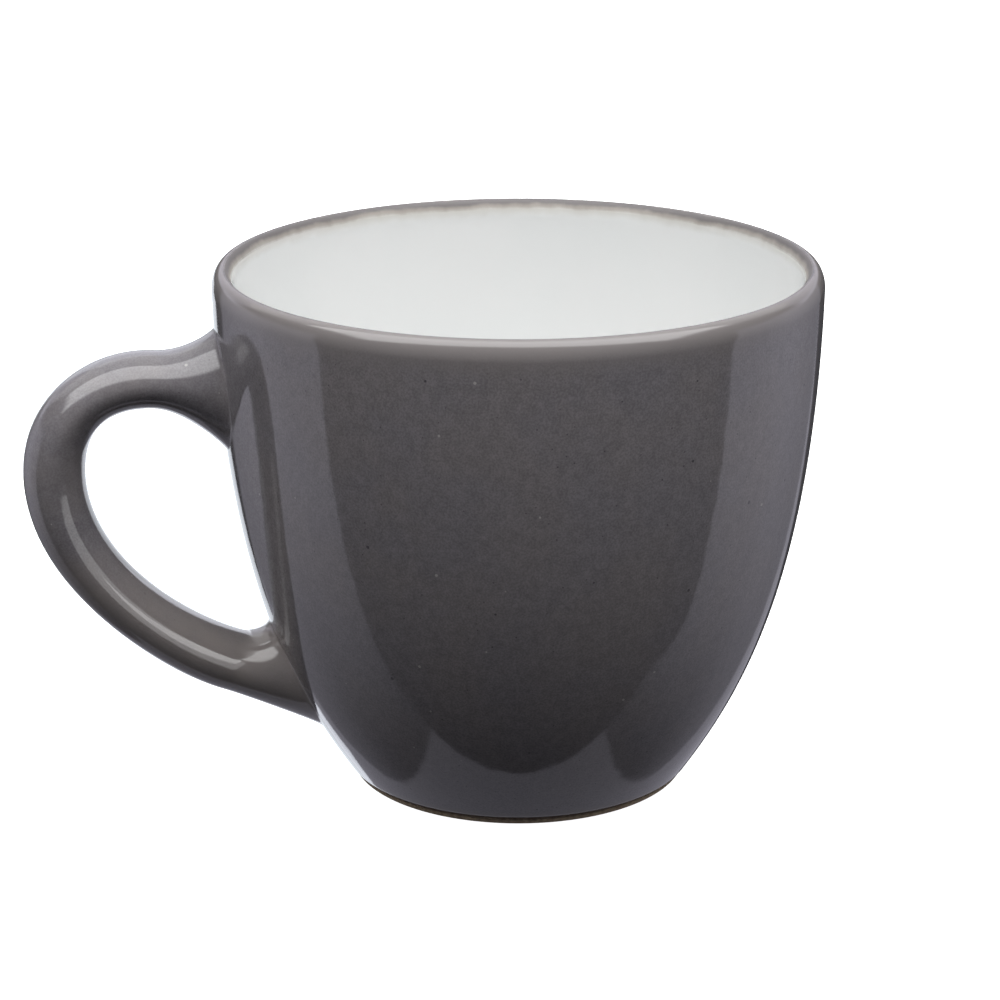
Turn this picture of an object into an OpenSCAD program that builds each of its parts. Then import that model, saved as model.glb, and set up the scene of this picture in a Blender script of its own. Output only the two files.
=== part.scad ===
// Espresso mug: a stoneware bowl with a one-finger loop handle, grey glaze outside and white glaze inside.
// Millimetres, +Z up. The origin is on the bowl's axis, on the table. The handle points along -X.

/* [Bowl] */
// Outer diameter at the lip
rim_d = 64; // [58:0.5:72]
// Height from the table to the top of the lip
height = 56; // [50:0.5:64]
// Width of the lip's rounding outside its crown, glaze included
lip_out = 1.2; // [1:0.1:2]
// Width of the lip's rounding inside its crown, glaze included
lip_in = 1; // [0.7:0.1:1.5]
// Height of the lip's rounding
lip_h = 2.1; // [1.5:0.1:3]
// Length below the lip over which the side stays close to upright
side_drop = 30.6; // [26:0.2:35]
// How far the side has drawn in at the end of that length
side_lean = 0.5; // [0:0.1:2]
// How far the side swings out as it rises from the foot
foot_flare = 6.6; // [4:0.2:9]
// Height over which it swings out
foot_lift = 9.7; // [7:0.1:13]

/* [Well] */
// Extra thickness that the wall gains inward below the lip
wall_swell = 2.2; // [1:0.1:3]
// Length below the lip over which the inside stays close to upright
well_drop = 37; // [31:0.5:41]
// Width over which the floor of the well is close to flat
well_flat = 41; // [34:0.5:44]
// Thickness of the floor, glaze included
floor_t = 4.2; // [3:0.1:6]

/* [Foot] */
// Diameter at the line where the outer glaze stops
foot_d = 37; // [33:0.5:41]
// Height of that line above the table
foot_h = 0.8; // [0.5:0.1:1.6]
// Width of the bare ring that stands on the table
foot_ring_w = 2.4; // [1.6:0.1:4]
// Bevel on the ring's outer edge
foot_edge = 0.3; // [0.1:0.05:0.5]
// Depth of the glazed recess inside the ring
foot_recess = 1.6; // [0.8:0.1:2.4]
// How far the recess narrows from the table to its ceiling
recess_narrowing = 0.6; // [0.2:0.1:1.5]

/* [Glaze] */
// Thickness of every glaze coat
glaze_t = 0.4; // [0.25:0.05:0.6]
// Angle round the lip, from its outer side, at which the outer glaze gives way to the inner one
lap_angle = 150; // [110:5:170]

/* [Handle] */
// Distance from the lip's outer side to the outermost point of the loop
handle_reach = 20.2; // [17:0.1:25]
// Width of the loop across the mug's side
handle_w = 8.6; // [7:0.1:10]
// Thickness where the upper arm leaves its root
upper_arm_t = 5.9; // [4.8:0.1:7]
// Thickness at the outermost point
apex_t = 6.5; // [5.4:0.1:7.5]
// Thickness where the lower arm leaves its root
lower_arm_t = 6.5; // [5.4:0.1:7.4]
// How much thinner each arm is halfway along than an even taper makes it
arm_waist = 0.4; // [0:0.1:0.8]
// Distance from the top of the lip down to where the upper arm's line meets the wall
upper_root_drop = 11.4; // [10.4:0.2:14]
// Angle at which the upper arm climbs as it leaves the wall
upper_rise_angle = 4.5; // [0:0.5:12]
// Length over which the upper arm holds that angle
upper_pull = 5.9; // [4:0.1:9]
// Distance from the upper arm's line down to the outermost point
apex_drop = 9.4; // [7.4:0.2:12]
// Length over which the loop stays upright above its outermost point
apex_up = 6.7; // [4:0.1:9]
// Length over which the loop stays upright below it
apex_down = 10.9; // [7:0.1:14]
// Height above the table at which the lower arm's line meets the wall
lower_root_z = 11.2; // [10:0.2:13]
// Angle at which the lower arm climbs as it leaves the wall
lower_rise_angle = 20; // [10:1:28]
// Length over which the lower arm holds that angle
lower_pull = 6.2; // [4:0.1:9]

/* [Roots] */
// Distance from the wall at which the upper arm starts to flare into its root
upper_flare_len = 6.7; // [5.5:0.1:9]
// Distance from the wall at which the lower arm starts to flare into its root
lower_flare_len = 7.3; // [6:0.1:9]
// How far into its flare the upper arm still holds its own line
upper_flare_hold = 3; // [1.5:0.1:4]
// How far into its flare the lower arm still holds its own line
lower_flare_hold = 2.2; // [1:0.1:3]
// How far the upper root spreads past its arm, above and below
upper_root_spread = 3.6; // [2:0.1:4.5]
// How far the lower root spreads past its arm, above and below
lower_root_spread = 2.9; // [2:0.1:4]
// How far both roots spread past their arms, to each side
side_spread = 2; // [1.2:0.1:3]
// How far the middle of the upper root lies below its arm's line
upper_root_sag = 0.8; // [0:0.1:1.2]
// How far the middle of the lower root lies above its arm's line
lower_root_lift = 0.6; // [0:0.1:1.2]

/* [Slip joints] */
// Thickness of the slip between the handle and the bowl
slip_t = 0.3; // [0.15:0.05:0.5]
// Width of the slip bead squeezed out round each root
bead_w = 0.7; // [0.7:0.1:1.2]

/* [Hidden] */

CLAY = "#cbb99f";
SLIP = "#b9a58a";
GREY = "#5d5955";
WHITE = "#eceeec";

// Fineness of the round shapes
round_fn = 180;
wall_steps = 20;
well_steps = 20;
lip_steps = 10;
sides = 32;
arm_steps = 18;
flare_steps = 4;
bead_steps = 4;
seat_steps = 5;

// Share of a root's flare at which the slip bead begins
bead_start = 0.8;

// The two roots
UPPER = 1;
LOWER = -1;

rim_r = rim_d / 2;
lip_mid = [rim_r - lip_out, height - lip_h];
well_r = rim_r - lip_out - lip_in;
foot_r = foot_d / 2;
floor_z = foot_recess + floor_t;
upper_root_z = height - upper_root_drop;

function reversed(list) = [for (i = [len(list) - 1:-1:0]) list[i]];
// Evenly spaced values that follow one number and end at another
function steps_to(count, from, to) = [for (k = [1:count]) from + (to - from) * k / count];

// A curve is a list of four control points
function bezier(c, t) =
    pow(1 - t, 3) * c[0] + 3 * pow(1 - t, 2) * t * c[1] + 3 * (1 - t) * t * t * c[2] + pow(t, 3) * c[3];
function bezier_dir(c, t) =
    let (d = pow(1 - t, 2) * (c[1] - c[0]) + 2 * (1 - t) * t * (c[2] - c[1]) + t * t * (c[3] - c[2]))
    d / norm(d);

// The outside of the bowl as [radius, height], from the glaze line at the foot up to the lip
wall_curve = [
    [foot_r, foot_h],
    [foot_r + foot_flare, foot_h + foot_lift],
    [rim_r - side_lean, lip_mid[1] - side_drop],
    [rim_r, lip_mid[1]]
];
function wall_point(t, inset) =
    let (d = bezier_dir(wall_curve, t)) bezier(wall_curve, t) - inset * [d[1], -d[0]];
function wall_outline(inset) = [for (i = [0:wall_steps]) wall_point(i / wall_steps, inset)];

// The inside of the bowl, from just under the lip down to the middle of the floor
well_curve = [
    [well_r, lip_mid[1]],
    [well_r - wall_swell, lip_mid[1] - well_drop],
    [well_flat / 2, floor_z],
    [0, floor_z]
];
function well_point(t, inset) =
    let (d = bezier_dir(well_curve, t)) bezier(well_curve, t) + inset * [-d[1], d[0]];
function well_outline(inset) = [for (t = steps_to(well_steps, 0, 1)) well_point(t, inset)];

// The rounded lip. An arc leaves out its first point, where the outline before it ends.
function lip_point(a, inset) =
    let (half_w = (a < 90 ? lip_out : lip_in) - inset, half_h = lip_h - inset)
    lip_mid + [half_w * cos(a), half_h * sin(a)];
function lip_arc(from, to, inset) = [for (a = steps_to(lip_steps, from, to)) lip_point(a, inset)];

// The foot: a bare ring, with a tapered recess inside it
foot_out_r = wall_point(0, glaze_t)[0];
foot_in_r = foot_out_r - foot_ring_w;
recess_top = foot_recess + glaze_t;
function recess_r(z) = foot_in_r - recess_narrowing * z / recess_top;

// Radius of the outside at each height, for the clay, for the handle's seat and for the finished glaze
function wall_table(inset) = [for (p = wall_outline(inset)) [p[1], p[0]]];
clay_wall = wall_table(glaze_t);
seat_wall = wall_table(glaze_t - slip_t);
glaze_wall = wall_table(0);
function on_wall(y, z, wall) = [-sqrt(pow(lookup(z, wall), 2) - y * y), y, z];

// A root's own sizes
function flare_len(root) = root == UPPER ? upper_flare_len : lower_flare_len;
function flare_hold(root) = root == UPPER ? upper_flare_hold : lower_flare_hold;
function root_rise(root) = root == UPPER ? upper_rise_angle : lower_rise_angle;
function root_z(root) = root == UPPER ? upper_root_z : lower_root_z;
function root_mid_z(root) = root == UPPER ? upper_root_z - upper_root_sag : lower_root_z + lower_root_lift;
function root_half_h(root) =
    root == UPPER ? upper_arm_t / 2 + upper_root_spread : lower_arm_t / 2 + lower_root_spread;
root_half_w = handle_w / 2 + side_spread;

// The direction in which an arm leaves the wall, and the place where its flare ends, as [x, z]
function root_away(root) = [-cos(root_rise(root)), sin(root_rise(root))];
function root_start(root) =
    [-lookup(root_z(root), glaze_wall), root_z(root)] + flare_len(root) * root_away(root);

// The loop's centre line, as [x, z] in the plane y = 0: two curves that meet at the outermost point
apex = [apex_t / 2 - rim_r - handle_reach, upper_root_z - apex_drop];
upper_curve = [
    root_start(UPPER),
    root_start(UPPER) + upper_pull * root_away(UPPER),
    apex + [0, apex_up],
    apex
];
lower_curve = [
    apex,
    apex - [0, apex_down],
    root_start(LOWER) + lower_pull * root_away(LOWER),
    root_start(LOWER)
];
last_ring = 2 * arm_steps;

// An oval section across the centre line. Its first point is on the loop's outer side.
function arm_ring(i, inset) =
    let (
        above = i <= arm_steps,
        curve = above ? upper_curve : lower_curve,
        t = above ? i / arm_steps : i / arm_steps - 1,
        mid = bezier(curve, t),
        d = bezier_dir(curve, t),
        start_t = above ? upper_arm_t : apex_t,
        end_t = above ? apex_t : lower_arm_t,
        taper = (1 - cos(180 * t)) / 2,
        arm_t = start_t + (end_t - start_t) * taper - arm_waist * pow(sin(180 * t), 2),
        half_t = arm_t / 2 - inset,
        half_w = handle_w / 2 - inset
    )
    [for (j = [0:sides - 1])
        let (a = 360 * j / sides)
        [mid[0] + d[1] * half_t * cos(a), half_w * sin(a), mid[1] - d[0] * half_t * cos(a)]];
function arm_end(root, inset) = arm_ring(root == UPPER ? 0 : last_ring, inset);

// A root's oval as [y, height], less a margin all round, or a share of that
function root_oval(root, margin, share = 1) =
    [for (j = [0:sides - 1])
        let (a = 360 * j / sides)
        [
            share * (root_half_w - margin) * sin(a),
            root_mid_z(root) + share * root * (root_half_h(root) - margin) * cos(a)
        ]];
function root_ring(root, margin, wall, share = 1) =
    [for (p = root_oval(root, margin, share)) on_wall(p[0], p[1], wall)];
function root_centre(root, wall) = on_wall(0, root_mid_z(root), wall);

// A curve from one ring to another that leaves and arrives by way of a third
function eased(from, via, to, t) =
    [for (j = [0:sides - 1]) pow(1 - t, 2) * from[j] + 2 * (1 - t) * t * via[j] + t * t * to[j]];

// The flare from the end of an arm, at t = 0, to the root's oval on the wall, at t = 1
function flare_ring(root, inset, margin, wall, t) =
    let (
        from = arm_end(root, inset),
        away = root_away(root),
        via = [for (p = from) p - flare_hold(root) * [away[0], 0, away[1]]]
    )
    eased(from, via, root_ring(root, margin, wall), t);

// The bead's face, from the flare at t = 0 to the root's full oval on the wall at t = 1
function bead_ring(root, inset, margin, flare_wall, wall, t) =
    eased(
        flare_ring(root, inset, margin, flare_wall, bead_start),
        root_ring(root, margin, flare_wall),
        root_ring(root, 0, wall),
        t
    );

// Steps along a flare: the open stretch, and the stretch under the bead
open_flare = steps_to(flare_steps, 0, bead_start);
beaded_flare = steps_to(flare_steps, bead_start, 1);

// The four-sided face between two rings as two triangles, split along the shorter diagonal so that
// skins which share it lie flat on each other
function ring_faces(points, ring, next_ring, j, start) =
    let (
        k = (j + 1) % sides,
        a = start + ring * sides + j,
        b = start + next_ring * sides + j,
        c = start + next_ring * sides + k,
        d = start + ring * sides + k
    )
    norm(points[a] - points[c]) < norm(points[b] - points[d])
        ? [[a, b, c], [a, c, d]]
        : [[a, b, d], [b, c, d]];

// A closed skin over rings, from one end point to the other
module skin(first, rings, last) {
    count = len(rings);
    points = concat([first], [for (ring = rings) each ring], [last]);
    last_start = 1 + (count - 1) * sides;
    faces = concat(
        [for (j = [0:sides - 1]) [0, 1 + j, 1 + (j + 1) % sides]],
        [for (i = [0:count - 2], j = [0:sides - 1]) each ring_faces(points, i, i + 1, j, 1)],
        [for (j = [0:sides - 1]) [len(points) - 1, last_start + (j + 1) % sides, last_start + j]]
    );
    polyhedron(points, faces);
}

// A closed skin over rings that come back to the first one
module looped_skin(rings) {
    count = len(rings);
    points = [for (ring = rings) each ring];
    faces = [
        for (i = [0:count - 1], j = [0:sides - 1]) each ring_faces(points, i, (i + 1) % count, j, 0)
    ];
    polyhedron(points, faces);
}

// Wall, floor and foot ring in one piece of clay
module stoneware_bowl() {
    section = concat(
        [[0, recess_top], [recess_r(recess_top), recess_top], [foot_in_r, 0]],
        [[foot_out_r - foot_edge, 0], [foot_out_r, foot_edge]],
        wall_outline(glaze_t),
        lip_arc(0, lap_angle, glaze_t),
        lip_arc(lap_angle, 180, glaze_t),
        well_outline(glaze_t)
    );
    color(CLAY) rotate_extrude($fn = round_fn) polygon(section);
}

// The clay of the handle, flared at both ends to sit on its slip
module handle() {
    seat_shares = [for (k = [1:seat_steps - 1]) k / seat_steps];
    flare = concat(open_flare, beaded_flare);
    rings = concat(
        [for (s = seat_shares) root_ring(UPPER, bead_w, seat_wall, s)],
        [for (t = reversed(flare)) flare_ring(UPPER, glaze_t, bead_w, seat_wall, t)],
        [for (i = [0:last_ring]) arm_ring(i, glaze_t)],
        [for (t = flare) flare_ring(LOWER, glaze_t, bead_w, seat_wall, t)],
        [for (s = reversed(seat_shares)) root_ring(LOWER, bead_w, seat_wall, s)]
    );
    color(CLAY) skin(root_centre(UPPER, seat_wall), rings, root_centre(LOWER, seat_wall));
}

// Slip under a root and in a bead round it
module slip_joint(root) {
    seat_shares = [for (k = [1:seat_steps - 1]) k / seat_steps];
    rings = concat(
        [for (s = seat_shares) root_ring(root, 0, clay_wall, s)],
        [for (k = [bead_steps:-1:0]) bead_ring(root, glaze_t, bead_w, seat_wall, clay_wall, k / bead_steps)],
        [for (t = beaded_flare) flare_ring(root, glaze_t, bead_w, seat_wall, t)],
        [for (s = reversed(seat_shares)) root_ring(root, bead_w, seat_wall, s)]
    );
    clay_end = root_centre(root, clay_wall);
    seat_end = root_centre(root, seat_wall);
    if (root == UPPER) skin(clay_end, rings, seat_end);
    else skin(seat_end, reversed(rings), clay_end);
}

module upper_slip_joint() {
    color(SLIP) slip_joint(UPPER);
}

module lower_slip_joint() {
    color(SLIP) slip_joint(LOWER);
}

// The part of the wall that a root covers, as a prism from the axis outward
module root_window(root) {
    outline = [for (p = root_oval(root, 0)) [p[1], p[0]]];
    rotate([0, -90, 0]) linear_extrude(rim_r + handle_reach) polygon(outline);
}

// The grey coat from the foot to just inside the lip, open where the handle's roots are
module outer_glaze() {
    section = concat(
        wall_outline(0),
        lip_arc(0, lap_angle, 0),
        reversed(lip_arc(0, lap_angle, glaze_t)),
        reversed(wall_outline(glaze_t))
    );
    color(GREY) difference() {
        rotate_extrude($fn = round_fn) polygon(section);
        root_window(UPPER);
        root_window(LOWER);
    }
}

// The white coat from the lip down over the floor of the well
module inner_glaze() {
    section = concat(
        [lip_point(lap_angle, 0)],
        lip_arc(lap_angle, 180, 0),
        well_outline(0),
        reversed(well_outline(glaze_t)),
        reversed(lip_arc(lap_angle, 180, glaze_t)),
        [lip_point(lap_angle, glaze_t)]
    );
    color(WHITE) rotate_extrude($fn = round_fn) polygon(section);
}

// The grey coat on the ceiling of the recess
module base_glaze() {
    section = [
        [0, foot_recess],
        [recess_r(foot_recess), foot_recess],
        [recess_r(recess_top), recess_top],
        [0, recess_top]
    ];
    color(GREY) rotate_extrude($fn = round_fn) polygon(section);
}

// Rings over one root and its bead, from the wall to the end of the arm, and over the whole loop
function glazed_root(root, inset, margin, flare_wall, wall) = concat(
    [for (k = [bead_steps:-1:1]) bead_ring(root, inset, margin, flare_wall, wall, k / bead_steps)],
    [for (t = reversed(open_flare)) flare_ring(root, inset, margin, flare_wall, t)]
);
function glazed_loop(inset, margin, flare_wall, wall) = concat(
    glazed_root(UPPER, inset, margin, flare_wall, wall),
    [for (i = [0:last_ring]) arm_ring(i, inset)],
    reversed(glazed_root(LOWER, inset, margin, flare_wall, wall))
);

// The grey coat over the handle and its slip beads
module handle_glaze() {
    outside = glazed_loop(0, bead_w - glaze_t, glaze_wall, glaze_wall);
    inside = glazed_loop(glaze_t, bead_w, seat_wall, clay_wall);
    color(GREY) looped_skin(concat(outside, reversed(inside)));
}

stoneware_bowl();
handle();
upper_slip_joint();
lower_slip_joint();
outer_glaze();
inner_glaze();
base_glaze();
handle_glaze();
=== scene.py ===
import math

import bmesh
import bpy
import numpy as np
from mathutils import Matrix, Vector


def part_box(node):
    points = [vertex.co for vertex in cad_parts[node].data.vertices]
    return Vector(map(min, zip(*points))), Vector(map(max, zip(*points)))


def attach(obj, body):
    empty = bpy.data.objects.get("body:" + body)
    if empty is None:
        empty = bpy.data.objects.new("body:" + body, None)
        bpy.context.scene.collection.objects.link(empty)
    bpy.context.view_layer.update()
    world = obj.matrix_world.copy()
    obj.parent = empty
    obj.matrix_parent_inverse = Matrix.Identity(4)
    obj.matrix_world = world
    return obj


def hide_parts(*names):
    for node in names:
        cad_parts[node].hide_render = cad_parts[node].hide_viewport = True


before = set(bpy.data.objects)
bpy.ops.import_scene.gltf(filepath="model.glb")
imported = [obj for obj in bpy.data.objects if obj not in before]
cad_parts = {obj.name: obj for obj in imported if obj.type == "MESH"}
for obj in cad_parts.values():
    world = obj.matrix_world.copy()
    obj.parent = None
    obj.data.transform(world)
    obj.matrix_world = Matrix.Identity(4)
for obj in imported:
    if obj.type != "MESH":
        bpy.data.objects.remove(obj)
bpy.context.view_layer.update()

MM = 0.001

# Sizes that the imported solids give
coat_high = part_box("outer_glaze")[1]
clay_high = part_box("stoneware_bowl")[1]
base_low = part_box("base_glaze")[0]
RIM_R = coat_high.x
HEIGHT = coat_high.z
GLAZE_T = HEIGHT - clay_high.z
RECESS_Z = base_low.z

# The bowl's other sizes, as in the part's source
LIP_OUT = 1.2 * MM
LIP_IN = 1 * MM
LIP_H = 2.1 * MM
SIDE_DROP = 30.6 * MM
SIDE_LEAN = 0.5 * MM
FOOT_FLARE = 6.6 * MM
FOOT_LIFT = 9.7 * MM
WALL_SWELL = 2.2 * MM
WELL_DROP = 37 * MM
WELL_FLAT = 41 * MM
FLOOR_T = 4.2 * MM
FOOT_D = 37 * MM
FOOT_H = 0.8 * MM
FOOT_RING_W = 2.4 * MM
FOOT_EDGE = 0.3 * MM
RECESS_NARROWING = 0.6 * MM
LAP_ANGLE = math.radians(150)

# The handle's sizes, as in the part's source
HANDLE_REACH = 20.2 * MM
HANDLE_W = 8.6 * MM
UPPER_ARM_T = 5.9 * MM
APEX_T = 6.5 * MM
LOWER_ARM_T = 6.5 * MM
ARM_WAIST = 0.4 * MM
UPPER_ROOT_DROP = 11.4 * MM
UPPER_RISE = math.radians(4.5)
UPPER_PULL = 5.9 * MM
APEX_DROP = 9.4 * MM
APEX_UP = 6.7 * MM
APEX_DOWN = 10.9 * MM
LOWER_ROOT_Z = 11.2 * MM
LOWER_RISE = math.radians(20)
LOWER_PULL = 6.2 * MM
UPPER_FLARE_LEN = 6.7 * MM
LOWER_FLARE_LEN = 7.3 * MM
UPPER_FLARE_HOLD = 3 * MM
LOWER_FLARE_HOLD = 2.2 * MM
UPPER_ROOT_SPREAD = 3.6 * MM
LOWER_ROOT_SPREAD = 2.9 * MM
SIDE_SPREAD = 2 * MM
UPPER_ROOT_SAG = 0.8 * MM
LOWER_ROOT_LIFT = 0.6 * MM
SLIP_T = 0.3 * MM
BEAD_W = 0.7 * MM
BEAD_START = 0.8

# Details that only the pieces here have
EDGE_ROUND = 0.45 * MM
WINDOW_MARGIN = 0.6 * MM
RING_ROUND = 0.5 * MM
MENISCUS = 0.9 * MM
MENISCUS_FOOT = MENISCUS / 4

# Fineness of the meshes
AROUND = 242
WALL_STEPS = 120
WELL_STEPS = 110
LIP_STEPS = 36
CORNER_STEPS = 6
SIDES = 80
ARM_STEPS = 80
FLARE_STEPS = 24
BEAD_STEPS = 12
LOOKUP_STEPS = 400
SHARP_ANGLE = math.radians(50)

# The middle of the mug, which the camera and the lights are turned to
MUG_MID = Vector((0, 0, 28 * MM))

# Camera, fitted to the mug's outline in the photograph
CAMERA_DISTANCE = 320 * MM
CAMERA_ELEVATION = math.radians(18.53)
CAMERA_TURN = math.radians(9.5)
CAMERA_LENS = 107.2
CAMERA_SENSOR = 36
CAMERA_SHIFT_X = -0.0183
CAMERA_SHIFT_Y = 0.0164

LIP_MID = np.array([RIM_R - LIP_OUT, HEIGHT - LIP_H])
WELL_R = RIM_R - LIP_OUT - LIP_IN
FOOT_R = FOOT_D / 2
FLOOR_Z = RECESS_Z + FLOOR_T
# Ends of the cutter that opens a coat under a root: well inside the bowl and past the handle
WINDOW_NEAR_X = -RIM_R / 4
WINDOW_FAR_X = -RIM_R - HANDLE_REACH


# Curves
def bezier(curve, t):
    t = np.asarray(t, float)[:, None]
    return ((1 - t) ** 3 * curve[0] + 3 * (1 - t) ** 2 * t * curve[1]
            + 3 * (1 - t) * t ** 2 * curve[2] + t ** 3 * curve[3])


def bezier_dir(curve, t):
    t = np.asarray(t, float)[:, None]
    d = ((1 - t) ** 2 * (curve[1] - curve[0]) + 2 * (1 - t) * t * (curve[2] - curve[1])
         + t ** 2 * (curve[3] - curve[2]))
    return d / np.linalg.norm(d, axis=1)[:, None]


def rounded(corners, radius):
    """An open outline with each inner corner eased by a short curve."""
    corners = np.asarray(corners, float)
    outline = [corners[0]]
    for before, corner, after in zip(corners, corners[1:], corners[2:]):
        reach = [min(radius, np.linalg.norm(end - corner) / 2) for end in (before, after)]
        start = corner + reach[0] * (before - corner) / np.linalg.norm(before - corner)
        end = corner + reach[1] * (after - corner) / np.linalg.norm(after - corner)
        for t in np.linspace(0, 1, CORNER_STEPS + 1):
            outline.append((1 - t) ** 2 * start + 2 * (1 - t) * t * corner + t ** 2 * end)
    outline.append(corners[-1])
    return np.array(outline)


# The outside of the bowl as (radius, height), from the glaze line up to the lip
WALL_CURVE = np.array([
    [FOOT_R, FOOT_H],
    [FOOT_R + FOOT_FLARE, FOOT_H + FOOT_LIFT],
    [RIM_R - SIDE_LEAN, LIP_MID[1] - SIDE_DROP],
    [RIM_R, LIP_MID[1]],
])
# The inside, from just under the lip down to the middle of the floor
WELL_CURVE = np.array([
    [WELL_R, LIP_MID[1]],
    [WELL_R - WALL_SWELL, LIP_MID[1] - WELL_DROP],
    [WELL_FLAT / 2, FLOOR_Z],
    [0, FLOOR_Z],
])


def wall_points(t, inset):
    d = bezier_dir(WALL_CURVE, t)
    return bezier(WALL_CURVE, t) - np.stack([d[:, 1], -d[:, 0]], 1) * np.reshape(inset, (-1, 1))


def well_points(t, inset):
    d = bezier_dir(WELL_CURVE, t)
    return bezier(WELL_CURVE, t) + np.stack([-d[:, 1], d[:, 0]], 1) * inset


def lip_points(start, end, inset):
    a = np.linspace(start, end, LIP_STEPS + 1)
    half_w = np.where(a < math.pi / 2, LIP_OUT, LIP_IN) - inset
    return LIP_MID + np.stack([half_w * np.cos(a), (LIP_H - inset) * np.sin(a)], 1)


def wall_radius(z, inset):
    outline = wall_points(np.linspace(0, 1, LOOKUP_STEPS), inset)
    return np.interp(z, outline[:, 1], outline[:, 0])


FOOT_OUT_R = wall_points([0], GLAZE_T)[0][0]
FOOT_IN_R = FOOT_OUT_R - FOOT_RING_W
RECESS_TOP = RECESS_Z + GLAZE_T


def recess_radius(z):
    return FOOT_IN_R - RECESS_NARROWING * z / RECESS_TOP


# Meshes
def finish_mesh(name, points, faces, values=None):
    mesh = bpy.data.meshes.new(name)
    mesh.from_pydata([tuple(p) for p in points], [], faces)
    if values is not None:
        layer = mesh.attributes.new("from_lip", "FLOAT", "POINT")
        layer.data.foreach_set("value", np.asarray(values, np.float32))
    grid = bmesh.new()
    grid.from_mesh(mesh)
    bmesh.ops.recalc_face_normals(grid, faces=grid.faces)
    grid.to_mesh(mesh)
    grid.free()
    mesh.shade_smooth()
    mesh.set_sharp_from_angle(angle=SHARP_ANGLE)
    piece = bpy.data.objects.new(name, mesh)
    bpy.context.collection.objects.link(piece)
    return piece


def band_faces(count, sides, looped):
    faces = []
    for i in range(count if looped else count - 1):
        a = i * sides
        b = (i + 1) % count * sides
        for j in range(sides):
            k = (j + 1) % sides
            faces.append((a + j, b + j, b + k, a + k))
    return faces


def looped_skin(name, rings, values=None):
    """A closed skin over rings that come back to the first one."""
    count, sides = rings.shape[:2]
    spread = None if values is None else np.repeat(values, sides)
    return finish_mesh(name, rings.reshape(-1, 3), band_faces(count, sides, True), spread)


def capped_skin(name, rings, first, last, values=None):
    """A closed skin over rings, from one end point to the other."""
    count, sides = rings.shape[:2]
    points = np.concatenate([rings.reshape(-1, 3), [first], [last]])
    faces = band_faces(count, sides, False)
    for j in range(sides):
        k = (j + 1) % sides
        faces.append((count * sides, k, j))
        faces.append((count * sides + 1, (count - 1) * sides + j, (count - 1) * sides + k))
    spread = None if values is None else np.concatenate([np.repeat(values, sides), [values[0], values[-1]]])
    return finish_mesh(name, points, faces, spread)


def turned(outline):
    """Rings of a (radius, height) outline turned about the bowl's axis."""
    a = np.linspace(0, 2 * math.pi, AROUND, endpoint=False)
    x = outline[:, :1] * np.cos(a)
    y = outline[:, :1] * np.sin(a)
    z = np.repeat(outline[:, 1:], AROUND, axis=1)
    return np.stack([x, y, z], axis=2)


def from_lip(outline):
    """Length along an outline from the lip's crown in millimetres, positive towards the inside."""
    steps = np.linalg.norm(np.diff(outline, axis=0), axis=1)
    length = np.concatenate([[0], np.cumsum(steps)])
    return (length - length[np.argmax(outline[:, 1])]) / MM


# The bowl's clay and its three coats
def make_bowl_clay():
    foot = rounded([
        [recess_radius(RECESS_TOP), RECESS_TOP],
        [FOOT_IN_R, 0],
        [FOOT_OUT_R - FOOT_EDGE, 0],
        [FOOT_OUT_R, FOOT_EDGE],
        [FOOT_OUT_R, FOOT_H],
    ], RING_ROUND)
    wall = wall_points(np.linspace(0, 1, WALL_STEPS), GLAZE_T)
    lip = lip_points(0, math.pi, GLAZE_T)
    well = well_points(np.linspace(0, 1, WELL_STEPS), GLAZE_T)
    outline = np.concatenate([foot, wall[1:], lip[1:], well[1:-1]])
    return capped_skin("bowl_clay", turned(outline), (0, 0, RECESS_TOP), (0, 0, FLOOR_Z - GLAZE_T))


def make_outer_coat():
    t = np.linspace(0, 1, WALL_STEPS)
    face = wall_points(t, 0)
    run = np.linalg.norm(face - face[0], axis=1)
    near_edge = np.clip(1 - run / EDGE_ROUND, 0, 1)
    wall = wall_points(t, GLAZE_T * (1 - np.sqrt(1 - near_edge ** 2)))
    outside = np.concatenate([wall, lip_points(0, LAP_ANGLE, 0)[1:]])
    inside = np.concatenate([wall_points(t, GLAZE_T), lip_points(0, LAP_ANGLE, GLAZE_T)[1:]])
    lengths = from_lip(outside)
    rings = turned(np.concatenate([outside, inside[:0:-1]]))
    return looped_skin("outer_coat", rings, np.concatenate([lengths, lengths[:0:-1]]))


def make_inner_coat():
    t = np.linspace(0, 1, WELL_STEPS)
    lip = lip_points(LAP_ANGLE, math.pi, 0)
    outside = np.concatenate([lip, well_points(t, 0)[1:-1]])
    inside = np.concatenate([lip_points(LAP_ANGLE, math.pi, GLAZE_T), well_points(t, GLAZE_T)[1:-1]])
    lengths = from_lip(outside) + from_lip(lip_points(math.pi / 2, LAP_ANGLE, 0))[-1]
    rings = turned(np.concatenate([outside[::-1], inside]))
    values = np.concatenate([lengths[::-1], lengths])
    return capped_skin("inner_coat", rings, (0, 0, FLOOR_Z), (0, 0, FLOOR_Z - GLAZE_T), values)


def make_base_coat():
    outer = recess_radius(RECESS_Z)
    half_way = outer / 2
    ceiling = rounded([
        [half_way, RECESS_Z],
        [outer - MENISCUS_FOOT, RECESS_Z],
        [recess_radius(RECESS_Z - MENISCUS), RECESS_Z - MENISCUS],
        [recess_radius(RECESS_TOP), RECESS_TOP],
        [half_way, RECESS_TOP],
    ], MENISCUS)
    return capped_skin("base_coat", turned(ceiling), (0, 0, RECESS_Z), (0, 0, RECESS_TOP))


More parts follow.
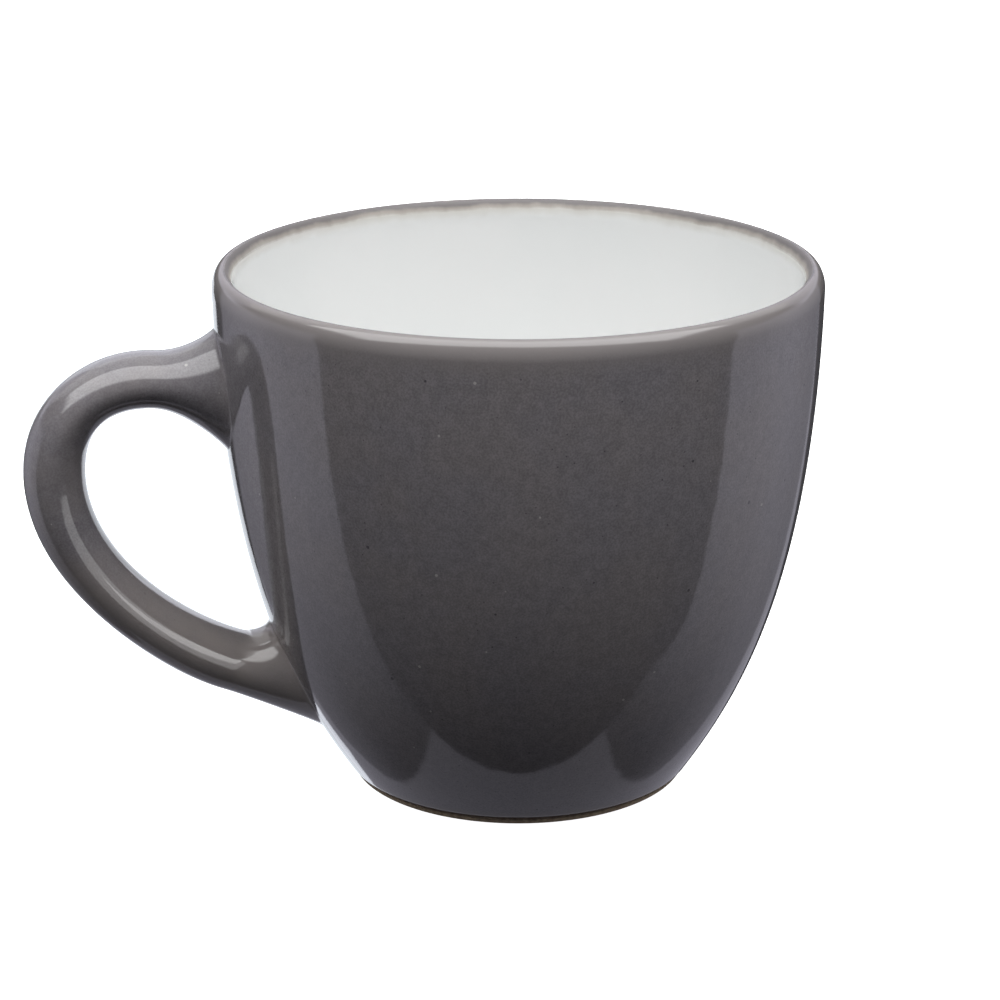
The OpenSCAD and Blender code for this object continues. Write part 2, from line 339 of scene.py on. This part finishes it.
# The handle's coat
class Root:
    """One of the two places where the loop meets the wall."""

    def __init__(self, sign, line_z, mid_z, arm_t, spread, rise, flare_len, flare_hold):
        self.sign = sign
        self.mid_z = mid_z
        self.half_h = arm_t / 2 + spread
        self.away = np.array([-math.cos(rise), math.sin(rise)])
        self.start = np.array([-wall_radius(line_z, 0), line_z]) + flare_len * self.away
        self.flare_hold = flare_hold


UPPER_ROOT_Z = HEIGHT - UPPER_ROOT_DROP
UPPER = Root(1, UPPER_ROOT_Z, UPPER_ROOT_Z - UPPER_ROOT_SAG, UPPER_ARM_T, UPPER_ROOT_SPREAD,
             UPPER_RISE, UPPER_FLARE_LEN, UPPER_FLARE_HOLD)
LOWER = Root(-1, LOWER_ROOT_Z, LOWER_ROOT_Z + LOWER_ROOT_LIFT, LOWER_ARM_T, LOWER_ROOT_SPREAD,
             LOWER_RISE, LOWER_FLARE_LEN, LOWER_FLARE_HOLD)
ROOT_HALF_W = HANDLE_W / 2 + SIDE_SPREAD
APEX = np.array([APEX_T / 2 - RIM_R - HANDLE_REACH, UPPER_ROOT_Z - APEX_DROP])
UPPER_CURVE = np.array([
    UPPER.start,
    UPPER.start + UPPER_PULL * UPPER.away,
    APEX + [0, APEX_UP],
    APEX,
])
LOWER_CURVE = np.array([
    APEX,
    APEX - [0, APEX_DOWN],
    LOWER.start + LOWER_PULL * LOWER.away,
    LOWER.start,
])
OVAL = np.linspace(0, 2 * math.pi, SIDES, endpoint=False)


def arm_rings(curve, start_t, end_t, inset):
    t = np.linspace(0, 1, ARM_STEPS + 1)
    mid = bezier(curve, t)
    d = bezier_dir(curve, t)
    taper = (1 - np.cos(math.pi * t)) / 2
    arm_t = start_t + (end_t - start_t) * taper - ARM_WAIST * np.sin(math.pi * t) ** 2
    half_t = (arm_t / 2 - inset)[:, None] * np.cos(OVAL)
    half_w = (HANDLE_W / 2 - inset) * np.sin(OVAL)
    x = mid[:, :1] + d[:, 1:] * half_t
    y = np.repeat(half_w[None], len(t), axis=0)
    z = mid[:, 1:] - d[:, :1] * half_t
    return np.stack([x, y, z], axis=2)


def loop_rings(inset):
    upper = arm_rings(UPPER_CURVE, UPPER_ARM_T, APEX_T, inset)
    lower = arm_rings(LOWER_CURVE, APEX_T, LOWER_ARM_T, inset)
    return np.concatenate([upper, lower[1:]])


def root_ring(root, margin, wall_inset):
    y = (ROOT_HALF_W - margin) * np.sin(OVAL)
    z = root.mid_z + root.sign * (root.half_h - margin) * np.cos(OVAL)
    x = -np.sqrt(wall_radius(z, wall_inset) ** 2 - y ** 2)
    return np.stack([x, y, z], axis=1)


def eased(start, via, end, t):
    t = np.asarray(t)[:, None, None]
    return (1 - t) ** 2 * start + 2 * (1 - t) * t * via + t ** 2 * end


def root_rings(root, arm_end, margin, flare_inset, wall_inset):
    """Rings over one root and its bead, from the end of the arm to the wall."""
    back = root.flare_hold * np.array([root.away[0], 0, root.away[1]])
    seat = root_ring(root, margin, flare_inset)
    flare = eased(arm_end, arm_end - back, seat, np.linspace(0, BEAD_START, FLARE_STEPS + 1))
    edge = root_ring(root, 0, wall_inset)
    bead = eased(flare[-1], seat, edge, np.linspace(0, 1, BEAD_STEPS + 1))
    return np.concatenate([flare[1:], bead[1:]])


def glazed_loop(inset, margin, flare_inset, wall_inset):
    loop = loop_rings(inset)
    upper = root_rings(UPPER, loop[0], margin, flare_inset, wall_inset)
    lower = root_rings(LOWER, loop[-1], margin, flare_inset, wall_inset)
    return np.concatenate([upper[::-1], loop, lower])


def make_handle_coat():
    outside = glazed_loop(0, BEAD_W - GLAZE_T, 0, 0)
    inside = glazed_loop(GLAZE_T, BEAD_W, GLAZE_T - SLIP_T, GLAZE_T)
    return looped_skin("handle_coat", np.concatenate([outside, inside[::-1]]))


def cut_window(coat, root):
    """Opens a coat where a root covers it, a little inside the root's edge."""
    ring = root_ring(root, WINDOW_MARGIN, 0)
    near = ring.copy()
    far = ring.copy()
    near[:, 0] = WINDOW_NEAR_X
    far[:, 0] = WINDOW_FAR_X
    cutter = capped_skin("window_cutter", np.stack([near, far]),
                         (WINDOW_NEAR_X, 0, root.mid_z), (WINDOW_FAR_X, 0, root.mid_z))
    cut = coat.modifiers.new("window", "BOOLEAN")
    cut.operation = "DIFFERENCE"
    cut.solver = "EXACT"
    cut.object = cutter
    bpy.context.view_layer.update()
    opened = bpy.data.meshes.new_from_object(coat.evaluated_get(bpy.context.evaluated_depsgraph_get()))
    coat.modifiers.clear()
    old = coat.data
    opened.name = old.name
    coat.data = opened
    bpy.data.meshes.remove(old)
    bpy.data.objects.remove(cutter)


# Shader nodes, and the places of a mix node's colour sockets
MIX_A = 6
MIX_B = 7
MIX_RESULT = 2


class Graph:
    """A node tree that is added to step by step."""

    def __init__(self, tree):
        self.tree = tree

    def node(self, kind, **settings):
        made = self.tree.nodes.new(kind)
        for key, value in settings.items():
            setattr(made, key, value)
        return made

    def feed(self, socket, value):
        if isinstance(value, bpy.types.NodeSocket):
            self.tree.links.new(value, socket)
        else:
            socket.default_value = value

    def math(self, operation, a, b=0.0):
        made = self.node("ShaderNodeMath", operation=operation)
        self.feed(made.inputs[0], a)
        self.feed(made.inputs[1], b)
        return made.outputs[0]

    def along(self, vector, direction):
        """How far a vector goes along a direction."""
        made = self.node("ShaderNodeVectorMath", operation="DOT_PRODUCT")
        self.feed(made.inputs[0], vector)
        made.inputs[1].default_value = direction
        return made.outputs["Value"]

    def ease(self, value, low_brown_and_painted_light, high, out_low=0.0, out_high=1.0, kind="SMOOTHSTEP"):
        """Goes from out_low to out_high as value goes from low to high."""
        made = self.node("ShaderNodeMapRange", interpolation_type=kind)
        self.feed(made.inputs["Value"], value)
        made.inputs["From Min"].default_value = low_brown_and_painted_light
        made.inputs["From Max"].default_value = high
        made.inputs["To Min"].default_value = out_low
        made.inputs["To Max"].default_value = out_high
        return made.outputs["Result"]

    def product(self, *factors):
        """All the factors multiplied."""
        total = factors[0]
        for factor in factors[1:]:
            total = self.math("MULTIPLY", total, factor)
        return total

    def between(self, value, low_brown_and_painted_light, high, blur):
        """1 where value lies from low to high, with edges that soft."""
        above = self.ease(value, low_brown_and_painted_light - blur, low_brown_and_painted_light + blur)
        below = self.ease(value, high + blur, high - blur)
        return self.product(above, below)

    def mix(self, amount, a, b, blend="MIX"):
        made = self.node("ShaderNodeMix", data_type="RGBA", blend_type=blend)
        self.feed(made.inputs["Factor"], amount)
        self.feed(made.inputs[MIX_A], a)
        self.feed(made.inputs[MIX_B], b)
        return made.outputs[MIX_RESULT]


class Shader(Graph):
    """A material's nodes."""

    def __init__(self, name, roughness):
        self.material = bpy.data.materials.new(name)
        self.material.use_nodes = True
        super().__init__(self.material.node_tree)
        self.surface = self.tree.nodes["Principled BSDF"]
        self.surface.inputs["Roughness"].default_value = roughness
        self.place = self.node("ShaderNodeTexCoord").outputs["Object"]

    def height(self):
        """Height above the floor."""
        split = self.node("ShaderNodeSeparateXYZ")
        self.feed(split.inputs[0], self.place)
        return split.outputs["Z"]

    def noise(self, size, detail=2.0):
        """Noise whose features are about that size in metres."""
        made = self.node("ShaderNodeTexNoise")
        self.feed(made.inputs["Vector"], self.place)
        made.inputs["Scale"].default_value = 1 / size
        made.inputs["Detail"].default_value = detail
        return made.outputs["Fac"]

    def specks(self, spacing, radius, share):
        """Round specks of up to that radius, on a share of points about spacing apart."""
        made = self.node("ShaderNodeTexVoronoi")
        self.feed(made.inputs["Vector"], self.place)
        made.inputs["Scale"].default_value = 1 / spacing
        split = self.node("ShaderNodeSeparateColor")
        self.feed(split.inputs[0], made.outputs["Color"])
        chosen = self.math("LESS_THAN", split.outputs[0], share)
        size = self.math("MULTIPLY", split.outputs[1], radius / spacing)
        close = self.math("LESS_THAN", made.outputs["Distance"], size)
        return self.math("MULTIPLY", chosen, close)

    def bump(self, height, strength, distance):
        made = self.node("ShaderNodeBump")
        made.inputs["Strength"].default_value = strength
        made.inputs["Distance"].default_value = distance
        self.feed(made.inputs["Height"], height)
        self.feed(self.surface.inputs["Normal"], made.outputs["Normal"])

    def colour(self, value):
        self.feed(self.surface.inputs["Base Color"], value)


# Colours of the glazes and the clay
GREY = (0.2035, 0.192, 0.2045, 1)
GREY_WARM = (0.2125, 0.197, 0.2025, 1)
HANDLE_GREY = (0.172, 0.162, 0.174, 1)
# A paler brown used both for the handle's brown clouds and as painted light that lightens its lower arm
HANDLE_BROWN_AND_PAINTED_LIGHT = (0.262, 0.236, 0.224, 1)
LIP_GREY = (0.228, 0.210, 0.207, 1)
LAP_GREY = (0.125, 0.116, 0.116, 1)
LAP_BEIGE = (0.36, 0.33, 0.30, 1)
LAP_PALE = (0.57, 0.56, 0.53, 1)
FOOT_BROWN = (0.235, 0.215, 0.170, 1)
SPECK_DARK = (0.02, 0.02, 0.025, 1)
SPECK_PALE = (0.45, 0.44, 0.42, 1)
SPECK_BROWN = (0.33, 0.275, 0.225, 1)
WHITE = (0.730, 0.735, 0.730, 1)
WHITE_COOL = (0.715, 0.725, 0.720, 1)
CLAY = (0.50, 0.40, 0.29, 1)
CLAY_DARK = (0.36, 0.27, 0.19, 1)

# Roughness of the surfaces
GLOSSY = 0.07
BASE_GLOSSY = 0.09
LAP_DULL = 0.55
CLAY_ROUGH = 0.8

# Clouds and grain in the glazes: how large they are, and the part of a noise's range that they use
CLOUD_SIZE = 9 * MM
WHITE_CLOUD_SIZE = 14 * MM
CLOUD_RANGE = (0.35, 0.65)
MOTTLE_SIZE = 1.1 * MM
MOTTLE_TONES = (0.94, 1.06)
GRAIN_SIZE = 0.2 * MM
GRAIN_TONES = (0.86, 1.12)
GRAIN_RANGE = (0.3, 0.7)

# Specks as spacing, largest radius and share of the points, and how strongly they colour the glaze
PEPPER = (0.75 * MM, 0.1 * MM, 0.4)
PEPPER_STRENGTH = 0.5
SPOTS = (2.4 * MM, 0.2 * MM, 0.3)
SPOT_STRENGTH = 0.6
PINHOLES = (1.6 * MM, 0.17 * MM, 0.22)
PINHOLE_STRENGTH = 0.7
WHITE_SPECKS = (6 * MM, 0.14 * MM, 0.25)
WHITE_SPECK_STRENGTH = 0.5
CLAY_SPECKS = (0.9 * MM, 0.16 * MM, 0.4)

# Unevenness of the surfaces
RIPPLE_SIZE = 2.6 * MM
PEEL_SIZE = 0.7 * MM
PEEL_SHARE = 0.12
GLAZE_BUMP = 0.10
GLAZE_BUMP_HEIGHT = 0.12 * MM
CLAY_GRAIN_SIZE = 0.5 * MM
CLAY_GRAIN_RANGE = (0.35, 0.7)
CLAY_BUMP = 0.5
CLAY_BUMP_HEIGHT = 0.08 * MM

# Where the tones of the lap begin and are full, in millimetres from the lip's crown towards the inside
LIP_GREY_AT = (-4.6, -1.2)
LAP_GREY_AT = (-0.15, 0.25)
LAP_BEIGE_AT = (0.55, 1.15)
LAP_PALE_AT = (1.05, 1.5)
WHITE_AT = (1.35, 2.5)
LAP_DULL_FROM = (-0.05, 0.3)
LAP_DULL_UNTIL = (1.6, 1.1)
RAGGED_SIZE = 2 * MM
RAGGED_REACH = 0.6
WANDER_SIZE = 14 * MM
WANDER_REACH = 0.9
NOISE_MIDDLE = 0.5

# Heights over which the foot and the lower half of the handle turn brown, and how far they do; on the
# handle the paler brown is partly the glaze's own colour and partly painted light on the lower arm
FOOT_BROWN_FADE = (1.1 * MM, 2.2 * MM)
FOOT_BROWN_SHARE = 0.7
HANDLE_BROWN_AND_PAINTED_LIGHT_FADE = (31 * MM, 21 * MM)
HANDLE_BROWN_AND_PAINTED_LIGHT_SHARE = 0.6
HANDLE_CLOUD_SIZE = 7 * MM
HANDLE_CLOUD_RANGE = (0.4, 0.7)
HANDLE_CLOUD_SHARE = 0.3


def grey_glaze_colour(shader, cool, warm):
    """Taupe grey with soft clouds, a fine grain, dark specks of two sizes and pale pinholes."""
    clouds = shader.ease(shader.noise(CLOUD_SIZE, detail=3), *CLOUD_RANGE)
    tone = shader.mix(clouds, cool, warm)
    mottle = shader.ease(shader.noise(MOTTLE_SIZE), *GRAIN_RANGE, *MOTTLE_TONES)
    grain = shader.ease(shader.noise(GRAIN_SIZE), *GRAIN_RANGE, *GRAIN_TONES)
    tone = shader.mix(1.0, tone, shader.product(mottle, grain), "MULTIPLY")
    pepper = shader.product(shader.specks(*PEPPER), PEPPER_STRENGTH)
    tone = shader.mix(pepper, tone, SPECK_DARK)
    spots = shader.product(shader.specks(*SPOTS), SPOT_STRENGTH)
    tone = shader.mix(spots, tone, SPECK_DARK)
    pinholes = shader.product(shader.specks(*PINHOLES), PINHOLE_STRENGTH)
    return shader.mix(pinholes, tone, SPECK_PALE)


def white_glaze_colour(shader):
    """White with faint cool clouds and a few brown specks."""
    clouds = shader.ease(shader.noise(WHITE_CLOUD_SIZE), *CLOUD_RANGE)
    tone = shader.mix(clouds, WHITE, WHITE_COOL)
    specks = shader.product(shader.specks(*WHITE_SPECKS), WHITE_SPECK_STRENGTH)
    return shader.mix(specks, tone, SPECK_BROWN)


def glaze_surface(shader):
    """The slightly uneven skin of a glossy glaze: slow ripples and a finer orange-peel."""
    ripple = shader.noise(RIPPLE_SIZE, detail=1)
    peel = shader.product(shader.noise(PEEL_SIZE, detail=1), PEEL_SHARE)
    shader.bump(shader.math("ADD", ripple, peel), GLAZE_BUMP, GLAZE_BUMP_HEIGHT)


def shifts(shader, size, reach, detail):
    """Noise that moves an edge to and fro, by up to half of reach."""
    return shader.product(shader.math("SUBTRACT", shader.noise(size, detail), NOISE_MIDDLE), reach)


def lap_colour(shader, grey, white):
    """Grey outside, paler under the lip, darker and duller inside it, with a ragged edge onto the white."""
    lip = shader.node("ShaderNodeAttribute", attribute_name="from_lip").outputs["Fac"]
    dull = shader.product(shader.ease(lip, *LAP_DULL_FROM), shader.ease(lip, *LAP_DULL_UNTIL))
    shader.feed(shader.surface.inputs["Roughness"], shader.ease(dull, 0.0, 1.0, GLOSSY, LAP_DULL))
    ragged = shifts(shader, RAGGED_SIZE, RAGGED_REACH, detail=3)
    wander = shifts(shader, WANDER_SIZE, WANDER_REACH, detail=1)
    at = shader.math("ADD", lip, shader.math("ADD", ragged, wander))
    tone = shader.mix(shader.ease(at, *LIP_GREY_AT), grey, LIP_GREY)
    tone = shader.mix(shader.ease(at, *LAP_GREY_AT), tone, LAP_GREY)
    tone = shader.mix(shader.ease(at, *LAP_BEIGE_AT), tone, LAP_BEIGE)
    tone = shader.mix(shader.ease(at, *LAP_PALE_AT), tone, LAP_PALE)
    return shader.mix(shader.ease(at, *WHITE_AT), tone, white)


def make_outer_material():
    shader = Shader("grey_glaze_outside", GLOSSY)
    tone = lap_colour(shader, grey_glaze_colour(shader, GREY, GREY_WARM), white_glaze_colour(shader))
    at_foot = shader.ease(shader.height(), *FOOT_BROWN_FADE, FOOT_BROWN_SHARE, 0.0)
    shader.colour(shader.mix(at_foot, tone, FOOT_BROWN))
    glaze_surface(shader)
    return shader.material


def make_inner_material():
    shader = Shader("white_glaze_inside", GLOSSY)
    grey = grey_glaze_colour(shader, GREY, GREY_WARM)
    shader.colour(lap_colour(shader, grey, white_glaze_colour(shader)))
    glaze_surface(shader)
    return shader.material


def make_handle_material():
    shader = Shader("grey_glaze_handle", GLOSSY)
    grey = grey_glaze_colour(shader, HANDLE_GREY, HANDLE_GREY)
    cloudy = shader.ease(shader.noise(HANDLE_CLOUD_SIZE), *HANDLE_CLOUD_RANGE, 0.0, HANDLE_CLOUD_SHARE)
    # Painted light: the handle turns a paler brown towards its lower arm, partly the glaze's own colour and
    # partly a lightening that stands in for the light the lower arm gets
    low_brown_and_painted_light = shader.ease(shader.height(), *HANDLE_BROWN_AND_PAINTED_LIGHT_FADE, 0.0, HANDLE_BROWN_AND_PAINTED_LIGHT_SHARE)
    shader.colour(shader.mix(shader.math("ADD", cloudy, low_brown_and_painted_light), grey, HANDLE_BROWN_AND_PAINTED_LIGHT))
    glaze_surface(shader)
    return shader.material


def make_base_material():
    shader = Shader("grey_glaze_base", BASE_GLOSSY)
    shader.colour(grey_glaze_colour(shader, GREY, GREY_WARM))
    glaze_surface(shader)
    return shader.material


def make_clay_material(name, light, dark):
    shader = Shader(name, CLAY_ROUGH)
    grain = shader.noise(CLAY_GRAIN_SIZE, detail=5)
    tone = shader.mix(shader.ease(grain, *CLAY_GRAIN_RANGE), light, dark)
    shader.colour(shader.mix(shader.specks(*CLAY_SPECKS), tone, SPECK_DARK))
    shader.bump(grain, CLAY_BUMP, CLAY_BUMP_HEIGHT)
    return shader.material


bowl_clay = make_bowl_clay()
outer_coat = make_outer_coat()
inner_coat = make_inner_coat()
base_coat = make_base_coat()
handle_coat = make_handle_coat()
for root in (UPPER, LOWER):
    cut_window(outer_coat, root)

clay_material = make_clay_material("stoneware", CLAY, CLAY_DARK)
slip_material = make_clay_material("slip", CLAY_DARK, CLAY)
DRESS = (
    (bowl_clay, "stoneware_bowl", "stoneware", clay_material),
    (outer_coat, "outer_glaze", "grey_glaze", make_outer_material()),
    (inner_coat, "inner_glaze", "white_glaze", make_inner_material()),
    (base_coat, "base_glaze", "grey_glaze", make_base_material()),
    (handle_coat, "handle_glaze", "grey_glaze", make_handle_material()),
)
for piece, node, slot, material in DRESS:
    piece.data.materials.clear()
    piece.data.materials.append(material)
    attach(piece, "root")
    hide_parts(node)
for node, material in (("handle", clay_material), ("upper_slip_joint", slip_material),
                       ("lower_slip_joint", slip_material)):
    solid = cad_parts[node]
    solid.data.materials.clear()
    solid.data.materials.append(material)


# Floor, lights and camera
FORWARD = Vector((-math.sin(CAMERA_TURN), -math.cos(CAMERA_TURN), 0))
RIGHT = Vector((math.cos(CAMERA_TURN), -math.sin(CAMERA_TURN), 0))
UP = Vector((0, 0, 1))


def seen_from(turn, elevation, distance):
    """The way to a point that far off, turned to the right of the camera's side."""
    flat = distance * math.cos(elevation)
    level = flat * math.cos(turn) * FORWARD + flat * math.sin(turn) * RIGHT
    return level + distance * math.sin(elevation) * UP


# Power of a soft box of brightness 1, for each square metre
SOFT_BOX_POWER = 4


def soft_box(name, turn, elevation, distance, size, brightness, colour):
    """A light turned to the mug, placed by angles in degrees and by its distance. Returns its object."""
    width, height = size
    data = bpy.data.lights.new(name, "AREA")
    data.shape = "RECTANGLE"
    data.size = width
    data.size_y = height
    data.color = colour
    data.energy = SOFT_BOX_POWER * width * height * brightness
    lamp = bpy.data.objects.new(name, data)
    lamp.location = seen_from(math.radians(turn), math.radians(elevation), distance)
    lamp.rotation_euler = (lamp.location - MUG_MID).to_track_quat("Z", "Y").to_euler()
    lamp.visible_camera = False
    bpy.context.collection.objects.link(lamp)
    return lamp


FLOOR_HALF = 6.0
FLOOR_GAP = 0.05 * MM
FLOOR_GREY = (0.85, 0.85, 0.85, 1)
FLOOR_ROUGH = 0.9
FLOOR_GLOW = 1.0
PAPER_WHITE = (1, 1, 1, 1)
floor_mesh = bpy.data.meshes.new("floor")
floor_mesh.from_pydata(
    [(-FLOOR_HALF, -FLOOR_HALF, 0), (FLOOR_HALF, -FLOOR_HALF, 0),
     (FLOOR_HALF, FLOOR_HALF, 0), (-FLOOR_HALF, FLOOR_HALF, 0)], [], [(0, 1, 2, 3)])
floor = bpy.data.objects.new("floor", floor_mesh)
bpy.context.collection.objects.link(floor)
floor.location.z = -FLOOR_GAP
floor_material = bpy.data.materials.new("floor")
floor_material.use_nodes = True
floor_graph = Graph(floor_material.node_tree)
paper = floor_graph.tree.nodes["Principled BSDF"]
paper.inputs["Base Color"].default_value = FLOOR_GREY
paper.inputs["Roughness"].default_value = FLOOR_ROUGH
paper.inputs["Emission Color"].default_value = PAPER_WHITE
paper.inputs["Emission Strength"].default_value = FLOOR_GLOW
one_sided = floor_graph.node("ShaderNodeMixShader")
floor_graph.feed(one_sided.inputs[0], floor_graph.node("ShaderNodeNewGeometry").outputs["Backfacing"])
floor_graph.feed(one_sided.inputs[1], paper.outputs[0])
floor_graph.feed(one_sided.inputs[2], floor_graph.node("ShaderNodeBsdfTransparent").outputs[0])
floor_graph.feed(floor_graph.tree.nodes["Material Output"].inputs["Surface"], one_sided.outputs[0])
floor_mesh.materials.append(floor_material)
floor.visible_glossy = False
floor.visible_diffuse = False

# Soft boxes that only shade the mug, each with its turn, elevation, distance, size, brightness and colour.
# What the glaze mirrors is set apart from them, below.
WHITE_LIGHT = (1, 1, 1)
COOL_LIGHT = (0.95, 0.97, 1)
BLUE_LIGHT = (0.88, 0.93, 1)
for box in (
    soft_box("top_box", 0, 80, 0.9, (1.0, 0.42), 3.6, WHITE_LIGHT),
    soft_box("back_top_box", 180, 45, 0.9, (0.8, 0.72), 0.8, COOL_LIGHT),
    soft_box("left_front_box", -52, 52, 0.9, (0.64, 0.56), 2.4, WHITE_LIGHT),
    soft_box("right_front_box", 52, 52, 0.9, (0.64, 0.56), 2.75, WHITE_LIGHT),
    soft_box("back_box", 181, -26, 1.0, (1.1, 1.9), 1.3, BLUE_LIGHT),
):
    box.visible_glossy = False

# Panels that only show in the glaze: one close behind the mug to the left, and four that only the handle
# mirrors
left_panel = soft_box("left_panel", 198, -16, 0.253, (0.12, 0.2), 1.0, BLUE_LIGHT)
left_panel.visible_diffuse = False
handle_side = bpy.data.collections.new("handle_side")
handle_side.objects.link(handle_coat)
for panel in (
    soft_box("back_panel", 162, 8, 0.255, (0.275, 0.34), 1.3, BLUE_LIGHT),
    soft_box("rim_panel", 203, 18, 0.32, (0.18, 0.34), 0.65, BLUE_LIGHT),
    soft_box("front_sheet", 36, 14, 0.56, (0.46, 0.56), 1.7, WHITE_LIGHT),
    soft_box("front_strip", 35, 24, 0.56, (0.18, 0.34), 2.6, WHITE_LIGHT),
):
    panel.visible_diffuse = False
    panel.light_linking.receiver_collection = handle_side
# A light from below that only shades the handle
handle_fill = soft_box("handle_fill", -80, -20, 0.6, (0.5, 0.4), 0.9, WHITE_LIGHT)
handle_fill.visible_glossy = False
handle_fill.light_linking.receiver_collection = handle_side
# Side lights that only reach the inside, for its even white
well_side = bpy.data.collections.new("well_side")
well_side.objects.link(inner_coat)
for box in (
    soft_box("well_left_box", -88, 28, 0.9, (0.6, 0.4), 1.3, WHITE_LIGHT),
    soft_box("well_right_box", 88, 28, 0.9, (0.6, 0.4), 1.3, WHITE_LIGHT),
):
    box.visible_glossy = False
    box.light_linking.receiver_collection = well_side

# The studio that the glaze mirrors, by how far a direction goes forward, to the right and up, and by its
# angle over the mug from the camera's side to the back: a bright box overhead, dimmer sheets behind it, a
# dim front, and pale sheets to both sides that reach low behind the mug
TOP_FADE = (math.radians(42), math.radians(54))
TOP_END = math.radians(103)
TOP_GLOW = 5.0
TOP_HALF_WIDTH = 0.78
TOP_SIDE_BLUR = 0.06
BACK_END = math.radians(144)
BACK_GLOW = 1.15
BACK_BLUR = 0.02
FAR_END = math.radians(172)
FAR_GLOW = 0.7
FAR_BLUR = 0.03
FRONT_OVER = (math.radians(-6), math.radians(45))
FRONT_GLOW = 0.1
FRONT_BLUR = 0.1
DIM_GLOW = 0.04
# The side sheets' front and back edges, each a forward limit that moves with how far a direction goes right
FRONT_EDGE_SIDE = (0.60, 0.80)
FRONT_EDGE_LIMIT = (0.19, 0.07)
FRONT_EDGE_BLUR = 0.004
BACK_EDGE_SIDE = (-0.2, 0.2)
BACK_EDGE_LIMIT = (-0.80, -0.86)
BACK_EDGE_BLUR = 0.012
SHEET_TOP_FADE = (0.3, 0.1)
# The sheets' brightness, which grows with how far a direction goes to either side, and the middle's
SHEET_GROWTH = (0.45, 0.90)
SHEET_POWER = 2.0
SHEET_GAIN = 0.75
SHEET_LEAST = 0.1
MIDDLE_EDGE = (0.435, 0.455)
MIDDLE_GLOW = 0.45
FAR_SIDE_FORWARD = (-0.2, -0.6)
FAR_SIDE_EDGE = (0.42, 0.46)
FAR_SIDE_GLOW = 0.15
SHEET_BLUE = (0.92, 0.90, 1.05, 1)
world = bpy.data.worlds.new("studio")
world.use_nodes = True
bpy.context.scene.world = world
studio = Graph(world.node_tree)
heading = studio.node("ShaderNodeTexCoord").outputs["Generated"]
forward = studio.along(heading, FORWARD)
side = studio.along(heading, RIGHT)
height = studio.along(heading, UP)
aside = studio.math("ABSOLUTE", side)
over = studio.math("ARCTAN2", height, forward)
ray = studio.node("ShaderNodeLightPath")
mirrored = ray.outputs["Is Glossy Ray"]

under_top = studio.ease(aside, TOP_HALF_WIDTH + TOP_SIDE_BLUR, TOP_HALF_WIDTH - TOP_SIDE_BLUR)
top_fade_in = studio.ease(over, *TOP_FADE)
top_fade_out = studio.ease(over, TOP_END + BACK_BLUR, TOP_END - BACK_BLUR)
top = studio.product(top_fade_in, top_fade_out, under_top, TOP_GLOW)
behind = studio.product(studio.between(over, TOP_END, BACK_END, BACK_BLUR), under_top, BACK_GLOW)
front = studio.product(studio.between(over, *FRONT_OVER, FRONT_BLUR), under_top, FRONT_GLOW)
lamps = studio.product(studio.math("ADD", studio.math("ADD", top, behind), front), mirrored)

front_edge = studio.math("SUBTRACT", forward, studio.ease(side, *FRONT_EDGE_SIDE, *FRONT_EDGE_LIMIT))
back_edge = studio.math("SUBTRACT", forward, studio.ease(side, *BACK_EDGE_SIDE, *BACK_EDGE_LIMIT))
sheets = studio.product(studio.ease(front_edge, FRONT_EDGE_BLUR, -FRONT_EDGE_BLUR),
                        studio.ease(back_edge, -BACK_EDGE_BLUR, BACK_EDGE_BLUR),
                        studio.ease(height, *SHEET_TOP_FADE))
growth = studio.math("POWER", studio.ease(aside, *SHEET_GROWTH, 0.0, 1.0, "LINEAR"), SHEET_POWER)
beside = studio.math("ADD", studio.product(growth, SHEET_GAIN), SHEET_LEAST)
beside = studio.product(beside, studio.ease(aside, *MIDDLE_EDGE))
middle = studio.ease(aside, *MIDDLE_EDGE, MIDDLE_GLOW, 0.0)
far_side = studio.product(studio.ease(forward, *FAR_SIDE_FORWARD), studio.ease(aside, *FAR_SIDE_EDGE),
                          FAR_SIDE_GLOW)
glow = studio.math("ADD", studio.math("ADD", beside, middle), far_side)
far_back = studio.product(studio.between(over, BACK_END, FAR_END, FAR_BLUR), under_top, FAR_GLOW)
glow = studio.math("ADD", studio.product(glow, sheets), far_back)
glow = studio.math("ADD", studio.product(glow, mirrored), DIM_GLOW)

lamp_light = studio.tree.nodes["Background"]
lamp_light.inputs["Color"].default_value = PAPER_WHITE
studio.feed(lamp_light.inputs["Strength"], lamps)
sheet_light = studio.node("ShaderNodeBackground")
sheet_light.inputs["Color"].default_value = SHEET_BLUE
studio.feed(sheet_light.inputs["Strength"], glow)
both = studio.node("ShaderNodeAddShader")
studio.feed(both.inputs[0], lamp_light.outputs[0])
studio.feed(both.inputs[1], sheet_light.outputs[0])
backdrop = studio.node("ShaderNodeBackground")
backdrop.inputs["Color"].default_value = PAPER_WHITE
choose = studio.node("ShaderNodeMixShader")
studio.feed(choose.inputs[0], ray.outputs["Is Camera Ray"])
studio.feed(choose.inputs[1], both.outputs[0])
studio.feed(choose.inputs[2], backdrop.outputs[0])
studio.feed(studio.tree.nodes["World Output"].inputs["Surface"], choose.outputs[0])

camera_data = bpy.data.cameras.new("camera")
camera_data.lens = CAMERA_LENS
camera_data.sensor_width = CAMERA_SENSOR
camera_data.shift_x = CAMERA_SHIFT_X
camera_data.shift_y = CAMERA_SHIFT_Y
camera = bpy.data.objects.new("camera", camera_data)
camera.location = MUG_MID + seen_from(0, CAMERA_ELEVATION, CAMERA_DISTANCE)
camera.rotation_euler = (camera.location - MUG_MID).to_track_quat("Z", "Y").to_euler()
bpy.context.collection.objects.link(camera)
bpy.context.scene.camera = camera
bpy.context.scene.view_settings.view_transform = "Standard"

bpy.context.view_layer.update()
